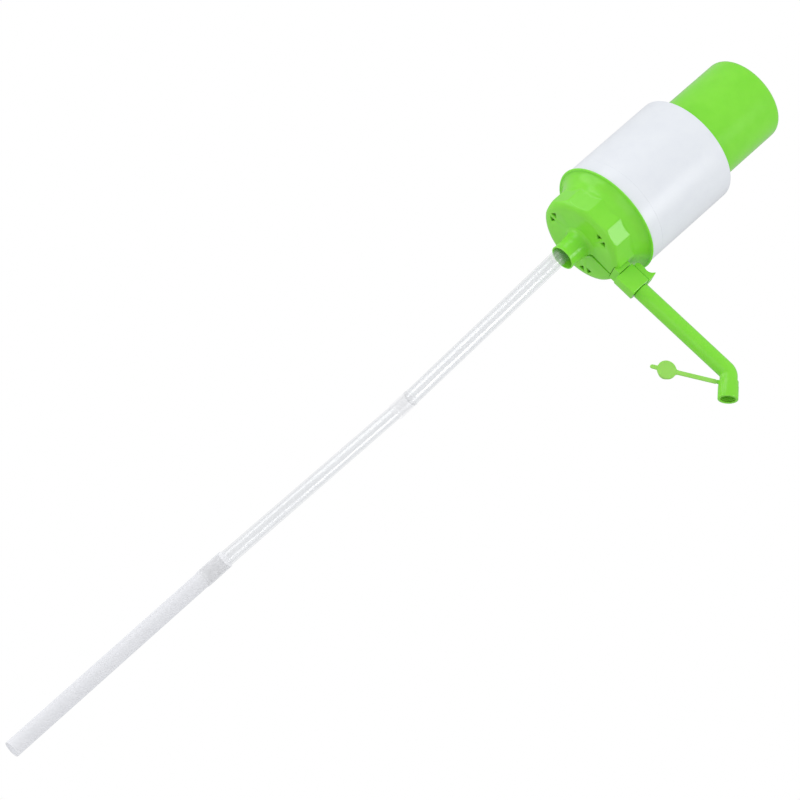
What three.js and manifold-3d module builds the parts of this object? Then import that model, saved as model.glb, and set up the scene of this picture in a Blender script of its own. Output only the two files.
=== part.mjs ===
// Hand pump for a water jug: a push cap and bellows over a two-valve base, a
// swivelling spout with a tethered nozzle cap, and a three-section dip pipe.
// Millimetres, +Z up along the pump axis, +X along the spout, origin at the
// centre of the base's bottom face, which sits on the mouth of the jug.

import * as THREE from 'three';
import { mergeVertices } from 'three/addons/utils/BufferGeometryUtils.js';
import Module from 'manifold-3d';

const wasm = await Module();
wasm.setup();

// ---------------------------------------------------------------- dimensions
const RAD = Math.PI / 180;

// base cover: twelve-sided cup, flared shoulder and flange
const FACET_CORNERS = [15.5, 46.5, 70, 100.5, 132, 164];   // degrees, on both sides of +X
const COVER_CORNER_R = 30.8;        // over the corners of the facets
const COVER_EDGE = [6.0, 4.2];      // rounding of the bottom edge: inwards, up
const COVER_FLOOR = 1.5;            // thickness of the bottom face
const COVER_CAVITY_R = 27.6;
const FLANGE_R = 38.6;
const FLANGE_TOP_Z = 24.9;
const LOCATING_R = 35.1;            // ring that centres the sleeve
const LOCATING_TOP_Z = 28.5;
const RECESS_R = 33.0;              // seat of the deck
const RECESS_Z = 20.9;
const BOSS_MOUTH_Z = -16.4;
const BOSS_MOUTH_R = 8.4;
const BOSS_BORE_R = [7.5, 7.9];     // at the mouth and at the floor
const VENT_CIRCLE_R = 23.0;         // three air vents, each two triangles on a radial rib
const VENT_BASE = [1.3, 2.4];       // a triangle's base: off the radius, half length
const VENT_TIP = 5.3;
const NOTCH_X = 26.9;               // way out for the outlet duct
const NOTCH_HALF_Y = 7.0;
const NOTCH_TOP_Z = 11.0;
const SLIT = [[8.6, -0.2], [27.6, 1.7], [27.6, 3.1], [8.6, 2.6]];   // tapering slit in the bottom face, X, Y

// sleeve
const SLEEVE_R = 37.6;
const SLEEVE_IN_R = 35.4;
const SLEEVE_Z = [25.2, 100.7];
const SLEEVE_LIP_R = 29.8;
const SLEEVE_LIP_Z = 98.0;

// push cap
const CAP_R = 29.4;
const CAP_IN_R = 27.6;
const CAP_TOP_Z = 160.75;
const CAP_TOP_WALL = 2.2;
const CAP_EDGE_R = 5.0;
const CAP_SKIRT_Z = 74.0;
const STOP_R = 34.9;                // stop flange under the sleeve's lip
const STOP_Z = [95.2, 97.7];

// bellows, clamp ring and top disc
const FOLD_R = 26.2;
const FOLD_ROOT_R = 21.6;
const BELLOWS_WALL = 1.1;
const FOLDS = 8;
const FOLD_Z = [27.4, 147.4];
const BELLOWS_FOOT = [29.6, 24.3, 25.6];
const BELLOWS_TOP_Z = 150.0;

// deck with intake nipple, outlet riser and duct
const DECK_R = 32.7;
const DECK_Z = [21.2, 24.0];
const INTAKE_X = -2.55;             // intake stands off the axis, clear of the riser
const RISER_X = 16.0;
const DUCT_Z = 6.1;
const DUCT_R = 4.0;
const DUCT_BORE_R = 3.2;
const DUCT_END_X = 36.4;

// outlet socket (block) and release lever
const BLOCK_X = [32.4, 47.0];
const BLOCK_HALF_Y = 6.1;
const BLOCK_Z = [-3.0, 11.7];
const DUCT_SOCKET_R = 4.4;
const SPIGOT_SOCKET_R = 4.75;
const PIN = [35.6, 13.8];           // lever pivot in X, Z
const LEVER_Z = 12.05;              // underside of the lever
const LEVER_HALF_Y = 5.2;
const RELIEF_X = 42.5;              // air-release hole under the lever's pad

// spout
const SPOUT_R = 5.55;
const SPOUT_BORE_R = 4.6;
const SPOUT_FACE = [47.4, 5.2];     // foot of the spout in X, Z; its axis rises to the corner
const SPIGOT_R = 4.0;
const SPIGOT_BORE_R = 3.0;
const CORNER = [122.2, 6.3];        // where spout and nozzle axes cross
const NOZZLE_DROP = 50.3 * RAD;     // nozzle below the spout axis
const NOZZLE_LEN = 18.1;            // from the crossing to the mouth
const ELBOW_R = 6.2;

// cap ring, strap and cap
const RING_R = 6.4;
const RING_UPPER_R = 6.25;
const RING_IN_R = 5.82;
const RING_LEN = 12.0;
const MOUTH_R = 4.75;
const STRAP_HALF = 1.4;             // half width of the strap
const HINGE_OFF = [-8.45, 10.8];    // bend of the strap beside the ring: across, up
const CAP_REACH = 30.85;            // bend of the strap to cap centre
const STRAP_DROP = 34.5 * RAD;      // strap below the horizontal
const DISC_R = 6.1;
const PLUG_R = 4.4;
const PLUG_IN_R = 3.3;

// dip pipe: points of the sections' centre lines in X, Z; they lean a little
// in their loose push joints
const UPPER_TOP = [-2.75, 14.9];
const JOINT_A = [3.4, -163.0];
const JOINT_B = [2.35, -320.0];
const LOWER_END = [3.3, -478.5];
const UPPER_FOOT_Z = -169.4;
const MIDDLE_Z = [-328.0, -156.5];
const LOWER_TOP_Z = -311.0;

// -------------------------------------------------------------------- helpers
function tidy(geometry) {
  const g = geometry.index ? geometry.toNonIndexed() : geometry.clone();
  g.deleteAttribute('normal');
  g.deleteAttribute('uv');
  const m = mergeVertices(g, 1e-4);
  const p = m.attributes.position.array;
  const index = [];
  let volume = 0;
  for (let i = 0; i < m.index.count; i += 3) {
    const [a, b, c] = [m.index.getX(i), m.index.getX(i + 1), m.index.getX(i + 2)];
    if (a === b || b === c || c === a) continue;
    index.push(a, b, c);
    const [x1, y1, z1] = [p[3 * a], p[3 * a + 1], p[3 * a + 2]];
    const [x2, y2, z2] = [p[3 * b], p[3 * b + 1], p[3 * b + 2]];
    const [x3, y3, z3] = [p[3 * c], p[3 * c + 1], p[3 * c + 2]];
    volume += x1 * (y2 * z3 - y3 * z2) - y1 * (x2 * z3 - x3 * z2) + z1 * (x2 * y3 - x3 * y2);
  }
  if (volume < 0) {
    for (let i = 0; i < index.length; i += 3) [index[i + 1], index[i + 2]] = [index[i + 2], index[i + 1]];
  }
  return { vertProperties: new Float32Array(p), triVerts: new Uint32Array(index) };
}

function solid(geometry) {
  const { vertProperties, triVerts } = tidy(geometry);
  return new wasm.Manifold(new wasm.Mesh({ numProp: 3, vertProperties, triVerts }));
}

function shell(manifold) {
  const mesh = manifold.getMesh();
  const g = new THREE.BufferGeometry();
  g.setAttribute('position', new THREE.BufferAttribute(new Float32Array(mesh.vertProperties), 3));
  g.setIndex(new THREE.BufferAttribute(new Uint32Array(mesh.triVerts), 1));
  g.computeVertexNormals();
  return g;
}

function union(first, ...rest) {
  return rest.reduce((a, b) => a.add(b), first);
}

function cut(first, ...rest) {
  return rest.reduce((a, b) => a.subtract(b), first);
}

// revolved profile of [radius, height] pairs, about Z
function lathe(points, segments = 48) {
  const g = new THREE.LatheGeometry(points.map(([r, z]) => new THREE.Vector2(r, z)), segments);
  return g.rotateX(Math.PI / 2);
}

function ring(points, segments = 48) {
  return lathe([...points, points[0]], segments);
}

function cylZ(r, z0, z1, x = 0, y = 0, segments = 24) {
  return new THREE.CylinderGeometry(r, r, z1 - z0, segments)
    .rotateX(Math.PI / 2).translate(x, y, (z0 + z1) / 2);
}

function cylX(r, x0, x1, y = 0, z = 0, segments = 24) {
  return new THREE.CylinderGeometry(r, r, x1 - x0, segments)
    .rotateZ(Math.PI / 2).translate((x0 + x1) / 2, y, z);
}

function cylY(r, y0, y1, x = 0, z = 0, segments = 20) {
  return new THREE.CylinderGeometry(r, r, y1 - y0, segments).translate(x, (y0 + y1) / 2, z);
}

function box(x0, x1, y0, y1, z0, z1) {
  return new THREE.BoxGeometry(x1 - x0, y1 - y0, z1 - z0)
    .translate((x0 + x1) / 2, (y0 + y1) / 2, (z0 + z1) / 2);
}

function outline(points) {
  return new THREE.Shape(points.map(([a, b]) => new THREE.Vector2(a, b)));
}

// outline in X, Z pushed along Y from y0 to y1
function plateXZ(points, y0, y1) {
  const g = new THREE.ExtrudeGeometry(outline(points), { depth: y1 - y0, bevelEnabled: false });
  const basis = new THREE.Matrix4().makeBasis(
    new THREE.Vector3(1, 0, 0), new THREE.Vector3(0, 0, 1), new THREE.Vector3(0, -1, 0));
  return g.applyMatrix4(basis).translate(0, y1, 0);
}

// outline in Y, Z pushed along X from x0 to x1
function plateYZ(points, x0, x1) {
  const g = new THREE.ExtrudeGeometry(outline(points), { depth: x1 - x0, bevelEnabled: false });
  const basis = new THREE.Matrix4().makeBasis(
    new THREE.Vector3(0, 1, 0), new THREE.Vector3(0, 0, 1), new THREE.Vector3(1, 0, 0));
  return g.applyMatrix4(basis).translate(x0, 0, 0);
}

// a curve that is sampled exactly at its own stations
class StationCurve extends THREE.Curve {
  constructor(stations) {
    super();
    this.stations = stations;
  }

  at(t, key) {
    const f = t * (this.stations.length - 1);
    const i = Math.min(Math.floor(f), this.stations.length - 2);
    return this.stations[i][key].clone().lerp(this.stations[i + 1][key], f - i);
  }

  getPoint(t, target = new THREE.Vector3()) {
    return target.copy(this.at(t, 'p'));
  }

  getTangent(t, target = new THREE.Vector3()) {
    return target.copy(this.at(t, 'd')).normalize();
  }

  getUtoTmapping(u) {
    return u;
  }
}

function sweep(radius, stations, sides = 24) {
  const circle = [];
  for (let i = 0; i < sides; i += 1) {
    const a = (i / sides) * 2 * Math.PI;
    circle.push([radius * Math.cos(a), radius * Math.sin(a)]);
  }
  return new THREE.ExtrudeGeometry(outline(circle), {
    steps: stations.length - 1, bevelEnabled: false, extrudePath: new StationCurve(stations),
  });
}

function arc(cx, cy, r, a0, a1, steps) {
  const out = [];
  for (let i = 0; i <= steps; i += 1) {
    const a = (a0 + ((a1 - a0) * i) / steps) * RAD;
    out.push([cx + r * Math.cos(a), cy + r * Math.sin(a)]);
  }
  return out;
}

// ------------------------------------------------------------------ materials
const look = (color, roughness, opacity = 1) => new THREE.MeshStandardMaterial({
  color, roughness, metalness: 0, opacity, transparent: opacity < 1,
});
const green = () => look(0x7dd746, 0.32);
const white = () => look(0xe6eaf0, 0.38);
const clear = () => look(0xe4e6e8, 0.18, 0.45);
const frosted = () => look(0xe2e4e6, 0.45, 0.6);
const innerPlastic = () => look(0xeef0f0, 0.4);
const softPlastic = () => look(0xf2f2ea, 0.5);
const rubber = () => look(0x2b2d2e, 0.7);
const steel = () => look(0xb8bcc0, 0.3);

const pump = new THREE.Group();
pump.name = 'jug_hand_pump';

function add(parent, name, geometry, material) {
  const mesh = new THREE.Mesh(geometry, material);
  mesh.name = name;
  parent.add(mesh);
  return mesh;
}

// ----------------------------------------------------------------- base cover
{
  const corners = [...FACET_CORNERS, ...[...FACET_CORNERS].reverse().map((deg) => -deg)]
    .map((deg) => [COVER_CORNER_R * Math.cos(deg * RAD), COVER_CORNER_R * Math.sin(deg * RAD)]);
  const prism = solid(new THREE.ExtrudeGeometry(outline(corners), { depth: 16.2, bevelEnabled: false }));
  const edge = [];
  for (let i = 0; i <= 6; i += 1) {
    const a = (15 * i - 90) * RAD;
    edge.push([COVER_CORNER_R - COVER_EDGE[0] * (1 - Math.cos(a)), COVER_EDGE[1] * (1 + Math.sin(a))]);
  }
  const softEdge = solid(lathe([[0, 0], ...edge, [COVER_CORNER_R + 0.2, 5.5], [COVER_CORNER_R + 0.2, 17], [0, 17]]));
  const flare = solid(lathe([
    [0, 10.8], [28.6, 10.8], [28.9, 12.3], [29.3, 13.2], [29.8, 14.0], [30.8, 16.0], [31.8, 18.2], [33.0, 20.3],
    [34.3, 22.1], [35.8, 23.6], [36.5, 24.1], [37.0, 24.2], [37.3, 24.0], [37.8, 24.0], [38.4, 24.3], [FLANGE_R, 24.6],
    [FLANGE_R, FLANGE_TOP_Z], [LOCATING_R, FLANGE_TOP_Z], [LOCATING_R, LOCATING_TOP_Z], [0, LOCATING_TOP_Z],
  ]));
  const boss = solid(lathe([
    [0, 1.0], [11.2, 1.0], [11.2, 0], [9.9, -0.9], [9.1, -2.4], [8.6, -5], [8.3, -9], [8.25, -14], [BOSS_MOUTH_R, BOSS_MOUTH_Z + 0.4],
    [BOSS_MOUTH_R - 0.2, BOSS_MOUTH_Z], [0, BOSS_MOUTH_Z],
  ], 36));
  const cavity = solid(lathe([
    [0, COVER_FLOOR], [COVER_CAVITY_R - 0.4, COVER_FLOOR], [COVER_CAVITY_R, COVER_FLOOR + 0.4],
    [COVER_CAVITY_R, RECESS_Z], [RECESS_R, RECESS_Z], [RECESS_R, 30], [0, 30],
  ]));
  const bossBore = solid(lathe([
    [0, -18], [BOSS_BORE_R[0], -18], [BOSS_BORE_R[0], BOSS_MOUTH_Z], [BOSS_BORE_R[1], 2.5], [0, 2.5],
  ], 36));
  const notch = solid(box(NOTCH_X, 45, -NOTCH_HALF_Y, NOTCH_HALF_Y, -2, NOTCH_TOP_Z));
  const slit = solid(new THREE.ExtrudeGeometry(outline(SLIT), { depth: COVER_FLOOR + 3.5, bevelEnabled: false }).translate(0, 0, -3));
  const vents = [];
  for (const deg of [60, 180, 300]) {
    for (const side of [1, -1]) {
      const [off, half] = VENT_BASE;
      const shape = [[-half, off], [half, off], [0.62 * half, 0.5 * (off + VENT_TIP)], [0, VENT_TIP], [-0.62 * half, 0.5 * (off + VENT_TIP)]];
      const hole = solid(new THREE.ExtrudeGeometry(outline(shape), { depth: 4, bevelEnabled: false }).translate(0, 0, -1));
      const a = deg * RAD;
      vents.push(hole.rotate([0, 0, side > 0 ? deg : deg + 180])
        .translate([VENT_CIRCLE_R * Math.cos(a), VENT_CIRCLE_R * Math.sin(a), 0]));
    }
  }
  const body = cut(union(prism.intersect(softEdge), flare, boss), cavity, bossBore, notch, slit, ...vents);
  add(pump, 'base_cover', shell(body), green());
}

// ------------------------------------------------- deck with the water passages
{
  const deck = solid(lathe([[0, DECK_Z[0]], [DECK_R, DECK_Z[0]], [DECK_R, DECK_Z[1]], [0, DECK_Z[1]]]));
  const house = solid(cylZ(8.2, 15.5, 22.6, INTAKE_X, 0, 32));
  const nipple = solid(cylZ(3.9, 3.0, 17, INTAKE_X, 0, 24));
  const riser = solid(cylZ(6.8, 2.2, 22.6, RISER_X, 0, 32));
  const duct = solid(cylX(DUCT_R, RISER_X, DUCT_END_X, 0, DUCT_Z, 24));
  const shroud = solid(box(NOTCH_X + 0.4, BLOCK_X[0] - 0.3, -NOTCH_HALF_Y + 0.6, NOTCH_HALF_Y - 0.6, 0.3, NOTCH_TOP_Z - 0.5));
  const body = cut(
    union(deck, house, nipple, riser, duct, shroud),
    solid(cylZ(8.3, 22.0, 25, INTAKE_X, 0, 32)),
    solid(cylZ(6.2, 18.0, 23, INTAKE_X, 0, 32)),
    solid(cylZ(2.8, 2, 19, INTAKE_X, 0, 24)),
    solid(cylZ(6.6, 22.0, 25, RISER_X, 0, 32)),
    solid(cylZ(5.4, 4.0, 23, RISER_X, 0, 32)),
    solid(cylX(DUCT_BORE_R, RISER_X, 38, 0, DUCT_Z, 24)),
  );
  add(pump, 'pump_base', shell(body), green());
}

function valveSeat(radius, portR, portCircle, hubR) {
  let body = solid(cylZ(radius, 0, 1.7, 0, 0, 24));
  for (let i = 0; i < 4; i += 1) {
    const a = (45 + 90 * i) * RAD;
    body = body.subtract(solid(cylZ(portR, -1, 3, portCircle * Math.cos(a), portCircle * Math.sin(a), 10)));
  }
  return shell(body.subtract(solid(cylZ(hubR, -1, 3, 0, 0, 12))));
}

add(pump, 'intake_valve_seat', valveSeat(8.0, 1.9, 4.1, 1.3), innerPlastic()).position.set(INTAKE_X, 0, 22.3);
add(pump, 'outlet_valve_seat', valveSeat(6.3, 1.25, 3.0, 1.3), innerPlastic()).position.set(RISER_X, 0, 22.3);

// mushroom flaps: the intake one lifts, the outlet one drops
add(pump, 'intake_flap', shell(solid(lathe([
  [0, -4.5], [1.0, -4.5], [1.7, -3.8], [1.0, -3.6], [1.0, 0], [6.0, 0], [6.3, 0.3], [6.0, 0.7], [1.6, 1.2], [0, 1.2],
], 20))), rubber()).position.set(INTAKE_X, 0, 24.3);
add(pump, 'outlet_flap', shell(solid(lathe([
  [0, -1.2], [1.6, -1.2], [4.6, -0.7], [4.9, -0.3], [4.6, 0], [1.0, 0], [1.0, 3.5], [1.7, 3.7], [1.0, 4.4], [0, 4.4],
], 20))), rubber()).position.set(RISER_X, 0, 22.0);

// -------------------------------------------------------------------- bellows
{
  const outer = [];
  const inner = [];
  for (let i = 0; i <= 2 * FOLDS; i += 1) {
    const z = FOLD_Z[1] + ((FOLD_Z[0] - FOLD_Z[1]) * i) / (2 * FOLDS);
    const r = i % 2 === 0 ? FOLD_ROOT_R : FOLD_R;
    outer.push([r, z]);
    inner.push([r - BELLOWS_WALL, z]);
  }
  const [footR, footZ, footTop] = BELLOWS_FOOT;
  const profile = [
    [0, BELLOWS_TOP_Z], [FOLD_ROOT_R, BELLOWS_TOP_Z],
    ...outer,
    [FOLD_ROOT_R, footTop], [footR, footTop], [footR, footZ], [FOLD_ROOT_R - BELLOWS_WALL, footZ],
    ...inner.reverse(),
    [FOLD_ROOT_R - BELLOWS_WALL, BELLOWS_TOP_Z - 1.3], [0, BELLOWS_TOP_Z - 1.3],
  ];
  add(pump, 'bellows', shell(solid(lathe(profile, 24))), softPlastic());
  add(pump, 'bellows_clamp_ring', shell(solid(ring([
    [26.7, 25.9], [30.0, 25.9], [30.0, 24.3], [32.4, 24.3], [32.4, 28.0], [26.7, 28.0],
  ], 36))), innerPlastic());
  const pegTop = CAP_TOP_Z - CAP_TOP_WALL - 0.3;
  const discZ = BELLOWS_TOP_Z + 0.3;
  add(pump, 'bellows_top_disc', shell(solid(lathe([
    [0, discZ], [20, discZ], [20, discZ + 2.0], [7.5, discZ + 2.0], [7.0, discZ + 2.6], [7.0, pegTop], [0, pegTop],
  ], 24))), innerPlastic());
}

// --------------------------------------------------------------------- sleeve
add(pump, 'outer_sleeve', shell(solid(ring([
  [SLEEVE_IN_R, SLEEVE_Z[0]], [SLEEVE_R, SLEEVE_Z[0]], [SLEEVE_R, SLEEVE_Z[1] - 0.9], [SLEEVE_R - 0.3, SLEEVE_Z[1] - 0.3],
  [SLEEVE_R - 0.9, SLEEVE_Z[1]], [SLEEVE_LIP_R, SLEEVE_Z[1]], [SLEEVE_LIP_R, SLEEVE_LIP_Z],
  [SLEEVE_IN_R, SLEEVE_LIP_Z],
], 48))), white());

// ------------------------------------------------------------------- push cap
{
  const edge = arc(CAP_R - CAP_EDGE_R, CAP_TOP_Z - CAP_EDGE_R, CAP_EDGE_R, 0, 90, 4);
  const innerTop = CAP_TOP_Z - CAP_TOP_WALL;
  const innerEdge = arc(CAP_IN_R - 3.2, innerTop - 3.2, 3.2, 90, 0, 3);
  add(pump, 'push_cap', shell(solid(lathe([
    [0, innerTop], ...innerEdge, [CAP_IN_R, CAP_SKIRT_Z], [CAP_R, CAP_SKIRT_Z], [CAP_R, STOP_Z[0]], [STOP_R, STOP_Z[0]],
    [STOP_R, STOP_Z[1]], [CAP_R, STOP_Z[1]], ...edge, [0, CAP_TOP_Z],
  ], 48))), green());
}

// the spout's straight part rises a little on its way out; shapes made along X
// with their axis at Z 0 are turned onto that line
const RISE = Math.atan((CORNER[1] - SPOUT_FACE[1]) / (CORNER[0] - SPOUT_FACE[0]));
function onSpout(geometry) {
  return geometry.translate(-SPOUT_FACE[0], 0, 0).rotateY(-RISE).translate(SPOUT_FACE[0], 0, SPOUT_FACE[1]);
}

// --------------------------------------------------- outlet socket and its lever
{
  const [z0, z1] = BLOCK_Z;
  const w = BLOCK_HALF_Y;
  const section = [
    ...arc(-w + 0.9, z0 + 0.9, 0.9, 180, 270, 2),
    ...arc(w - 6, z0 + 6, 6, 270, 360, 6),
    ...arc(w - 1.0, z1 - 1.0, 1.0, 0, 90, 2),
    ...arc(-w + 0.9, z1 - 0.9, 0.9, 90, 180, 2),
  ];
  const lug = union(
    solid(cylY(1.3, -1.5, 1.5, PIN[0], PIN[1], 20)),
    solid(box(PIN[0] - 1.3, PIN[0] + 1.3, -1.5, 1.5, z1 - 1, PIN[1])),
  );
  const block = cut(
    union(solid(plateYZ(section, BLOCK_X[0], BLOCK_X[1])), lug),
    solid(cylX(DUCT_SOCKET_R, BLOCK_X[0] - 1, DUCT_END_X + 0.4, 0, DUCT_Z, 28)),
    solid(cylX(DUCT_BORE_R, DUCT_END_X, 38.5, 0, DUCT_Z, 24)),
    solid(onSpout(cylX(SPIGOT_SOCKET_R, DUCT_END_X + 0.9, BLOCK_X[1] + 1, 0, 0, 28))),
    solid(cylZ(1.0, DUCT_Z + 2, z1 + 1, RELIEF_X, 0, 14)),
    solid(cylY(0.95, -3, 3, PIN[0], PIN[1], 14)),
  );
  add(pump, 'outlet_socket', shell(block), green());

  const side = [
    ...arc(PIN[0], PIN[1], PIN[1] - LEVER_Z, 180, 270, 4),
    [47.3, LEVER_Z], [47.1, 15.4], [46.8, 18.4], [46.4, 19.0], [45.0, 17.0], [43.4, 15.9], [41.5, 15.6],
    [39.6, 16.0], [36.0, 16.0], [34.7, 15.4], [34.0, 14.4],
  ];
  const lever = cut(
    solid(plateXZ(side, -LEVER_HALF_Y, LEVER_HALF_Y)),
    solid(box(PIN[0] - 3, PIN[0] + 2.6, -1.9, 1.9, 9, PIN[1] + 1.6)),
    solid(cylY(0.95, -LEVER_HALF_Y + 1, LEVER_HALF_Y + 1, PIN[0], PIN[1], 14)),
    solid(cylZ(2.6, LEVER_Z - 1, LEVER_Z + 1.3, RELIEF_X, 0, 18)),
  );
  add(pump, 'release_lever', shell(lever), green());
  add(pump, 'lever_pin', shell(solid(cylY(0.65, -LEVER_HALF_Y + 1.3, LEVER_HALF_Y - 0.1, PIN[0], PIN[1], 12))), steel());
  add(pump, 'release_pad', shell(solid(cylZ(2.3, LEVER_Z - 0.05, LEVER_Z + 1.0, RELIEF_X, 0, 18))), rubber());
}

// ---------------------------------------------------------------------- spout
const dir = new THREE.Vector3(Math.cos(NOZZLE_DROP), 0, -Math.sin(NOZZLE_DROP));
const corner = new THREE.Vector3(CORNER[0], 0, CORNER[1]);
{
  const along = (d) => corner.clone().addScaledVector(dir, d);
  const rise = new THREE.Vector3(Math.cos(RISE), 0, Math.sin(RISE));
  const foot = new THREE.Vector3(SPOUT_FACE[0], 0, SPOUT_FACE[1]);
  const turn = NOZZLE_DROP + RISE;
  const centre = corner.clone().addScaledVector(rise, -ELBOW_R * Math.tan(turn / 2))
    .add(new THREE.Vector3(ELBOW_R * Math.sin(RISE), 0, -ELBOW_R * Math.cos(RISE)));
  const bend = [];
  const steps = 7;
  for (let i = 0; i <= steps; i += 1) {
    const a = RISE - (turn * i) / steps;
    bend.push({
      p: new THREE.Vector3(centre.x - ELBOW_R * Math.sin(a), 0, centre.z + ELBOW_R * Math.cos(a)),
      d: new THREE.Vector3(Math.cos(a), 0, Math.sin(a)),
    });
  }
  const start = (d) => ({ p: foot.clone().addScaledVector(rise, d), d: rise.clone() });
  const end = (d) => ({ p: along(d), d: dir.clone() });
  const outer = union(
    solid(sweep(SPOUT_R, [start(0), ...bend, end(NOZZLE_LEN - 1.2)])),
    solid(onSpout(cylX(SPIGOT_R, DUCT_END_X + 1.2, SPOUT_FACE[0] + 1, 0, 0, 24))),
  );
  const body = cut(
    outer,
    solid(sweep(SPOUT_BORE_R, [start(1.2), ...bend, end(NOZZLE_LEN + 1)], 20)),
    solid(onSpout(cylX(SPIGOT_BORE_R, DUCT_END_X, SPOUT_FACE[0] + 2, 0, 0, 24))),
    solid(onSpout(ring([[3.35, 44.0], [5, 44.0], [5, 45.6], [3.35, 45.6]], 24).rotateY(Math.PI / 2))),
  );
  add(pump, 'spout_tube', shell(body), green());
  const o = onSpout(new THREE.TorusGeometry(4.0, 0.45, 6, 20).rotateY(Math.PI / 2).translate(44.8, 0, 0));
  add(pump, 'spout_o_ring', shell(solid(o)), rubber());
}

// ------------------------------------------------- cap ring on the nozzle's end
const mouth = corner.clone().addScaledVector(dir, NOZZLE_LEN);
const nozzleFrame = new THREE.Group();
nozzleFrame.position.copy(mouth);
nozzleFrame.rotation.y = -(Math.PI / 2 - NOZZLE_DROP);
pump.add(nozzleFrame);
{
  const sleeve = solid(ring([
    [MOUTH_R, 0.3], [MOUTH_R + 0.3, 0], [RING_R - 0.45, 0], [RING_R, 0.45], [RING_R, 8.4], [RING_UPPER_R, 8.7],
    [RING_UPPER_R, RING_LEN], [RING_IN_R, RING_LEN], [RING_IN_R, 0.9], [MOUTH_R, 0.9],
  ], 24));
  const root = solid(box(HINGE_OFF[0] + STRAP_HALF + 0.3, -5.98, -0.6, 0.6, HINGE_OFF[1] - STRAP_HALF, RING_LEN));
  add(nozzleFrame, 'cap_ring', shell(sleeve.add(root)), green());
}

// strap, disc, plug and pull tab in one moulding
{
  const root = new THREE.Vector3(HINGE_OFF[0], 0, HINGE_OFF[1])
    .applyAxisAngle(new THREE.Vector3(0, 1, 0), nozzleFrame.rotation.y).add(mouth);
  const strapFrame = new THREE.Group();
  strapFrame.position.copy(root);
  strapFrame.rotation.y = Math.PI - STRAP_DROP;
  pump.add(strapFrame);
  const inX = CAP_REACH - 4;
  const tipX = CAP_REACH + DISC_R + 4.4;
  const body = cut(
    union(
      solid(plateXZ([...arc(0, 0, STRAP_HALF, 90, 270, 8), [inX, -STRAP_HALF], [inX, STRAP_HALF]], -0.6, 0.6)),
      solid(cylY(DISC_R, -0.8, 0.8, CAP_REACH, 0, 32)),
      solid(cylY(PLUG_R, 0.5, 4.8, CAP_REACH, 0, 24)),
      solid(plateXZ([
        [CAP_REACH + 4, -1.4], [tipX - 0.5, -1.3], [tipX, -0.8], [tipX, 0.8], [tipX - 0.5, 1.3], [CAP_REACH + 4, 1.4],
      ], -0.6, 0.6)),
    ),
    solid(cylY(PLUG_IN_R, 1.2, 6, CAP_REACH, 0, 20)),
  );
  add(strapFrame, 'spout_cap', shell(body), green());
}

// ------------------------------------------------------------------- dip pipe
// the section between heights z0 and z1 of the line through points a and b
function pipe(name, a, b, z0, z1, profile, material) {
  const slope = (b[0] - a[0]) / (b[1] - a[1]);
  const holder = new THREE.Group();
  holder.position.set(a[0] + (z0 - a[1]) * slope, 0, z0);
  holder.rotation.y = Math.atan(slope);
  pump.add(holder);
  const length = (z1 - z0) * Math.hypot(1, slope);
  add(holder, name, shell(solid(ring(profile(length), 20))), material);
}

// upper section: plain top over the intake nipple, flared socket at its foot
pipe('pipe_upper', JOINT_A, UPPER_TOP, UPPER_FOOT_Z, UPPER_TOP[1], (l) => [
  [4.95, 0], [5.42, 0], [5.42, 13.4], [4.95, 14.4], [5.34, l - 23], [5.15, l - 22], [5.15, l], [4.5, l],
  [4.5, l - 14], [4.3, l - 15], [4.3, 14.1], [4.95, 13.4],
], clear());

// middle section: reduced top in the upper socket, plain foot in the lower socket
pipe('pipe_middle', JOINT_B, JOINT_A, MIDDLE_Z[0], MIDDLE_Z[1], (l) => [
  [3.8, 0], [4.6, 0], [4.65, 0.4], [4.65, 17.3], [4.8, 18.4], [4.6, l - 14.6], [4.4, l - 13.8], [4.4, l - 0.3], [4.3, l], [3.8, l],
], clear());

// lower section: socket at its top, square-cut open end in the water
pipe('pipe_lower', LOWER_END, JOINT_B, LOWER_END[1], LOWER_TOP_Z, (l) => [
  [4.3, 0], [5.1, 0], [5.1, l - 19.2], [5.5, l - 18.2], [5.5, l], [5.0, l], [5.0, l - 17.7], [4.3, l - 18.4],
], frosted());

export default pump;
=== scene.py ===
# Looks of the water jug hand pump: fine shells, plastics, clear pipes, studio.
# Lengths in this script's tables are millimetres in the part's own frame.

import math

import bmesh
import bpy
from mathutils import Matrix, Vector


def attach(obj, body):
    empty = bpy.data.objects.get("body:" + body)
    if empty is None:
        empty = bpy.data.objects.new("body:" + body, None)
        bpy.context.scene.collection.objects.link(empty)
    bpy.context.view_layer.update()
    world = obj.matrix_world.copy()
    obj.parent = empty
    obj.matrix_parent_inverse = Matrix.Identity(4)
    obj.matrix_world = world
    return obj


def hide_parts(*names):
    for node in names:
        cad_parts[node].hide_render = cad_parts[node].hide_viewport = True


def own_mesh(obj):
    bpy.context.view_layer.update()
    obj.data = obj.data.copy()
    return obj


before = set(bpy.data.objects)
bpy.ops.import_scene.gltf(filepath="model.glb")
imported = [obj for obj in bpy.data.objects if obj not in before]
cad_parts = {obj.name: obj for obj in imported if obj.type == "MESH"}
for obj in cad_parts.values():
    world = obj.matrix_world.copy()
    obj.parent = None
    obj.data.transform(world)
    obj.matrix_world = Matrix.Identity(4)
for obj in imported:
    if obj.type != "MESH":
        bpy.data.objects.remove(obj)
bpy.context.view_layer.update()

MM = 0.001
RAD = math.pi / 180


# ------------------------------------------------------------------ materials
def principled(name):
    mat = bpy.data.materials.new(name)
    mat.use_nodes = True
    nt = mat.node_tree
    return mat, nt, nt.nodes["Principled BSDF"]


def node(nt, kind, **values):
    n = nt.nodes.new(kind)
    for key, value in values.items():
        if key in n.inputs:
            n.inputs[key].default_value = value
        else:
            setattr(n, key, value)
    return n


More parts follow.
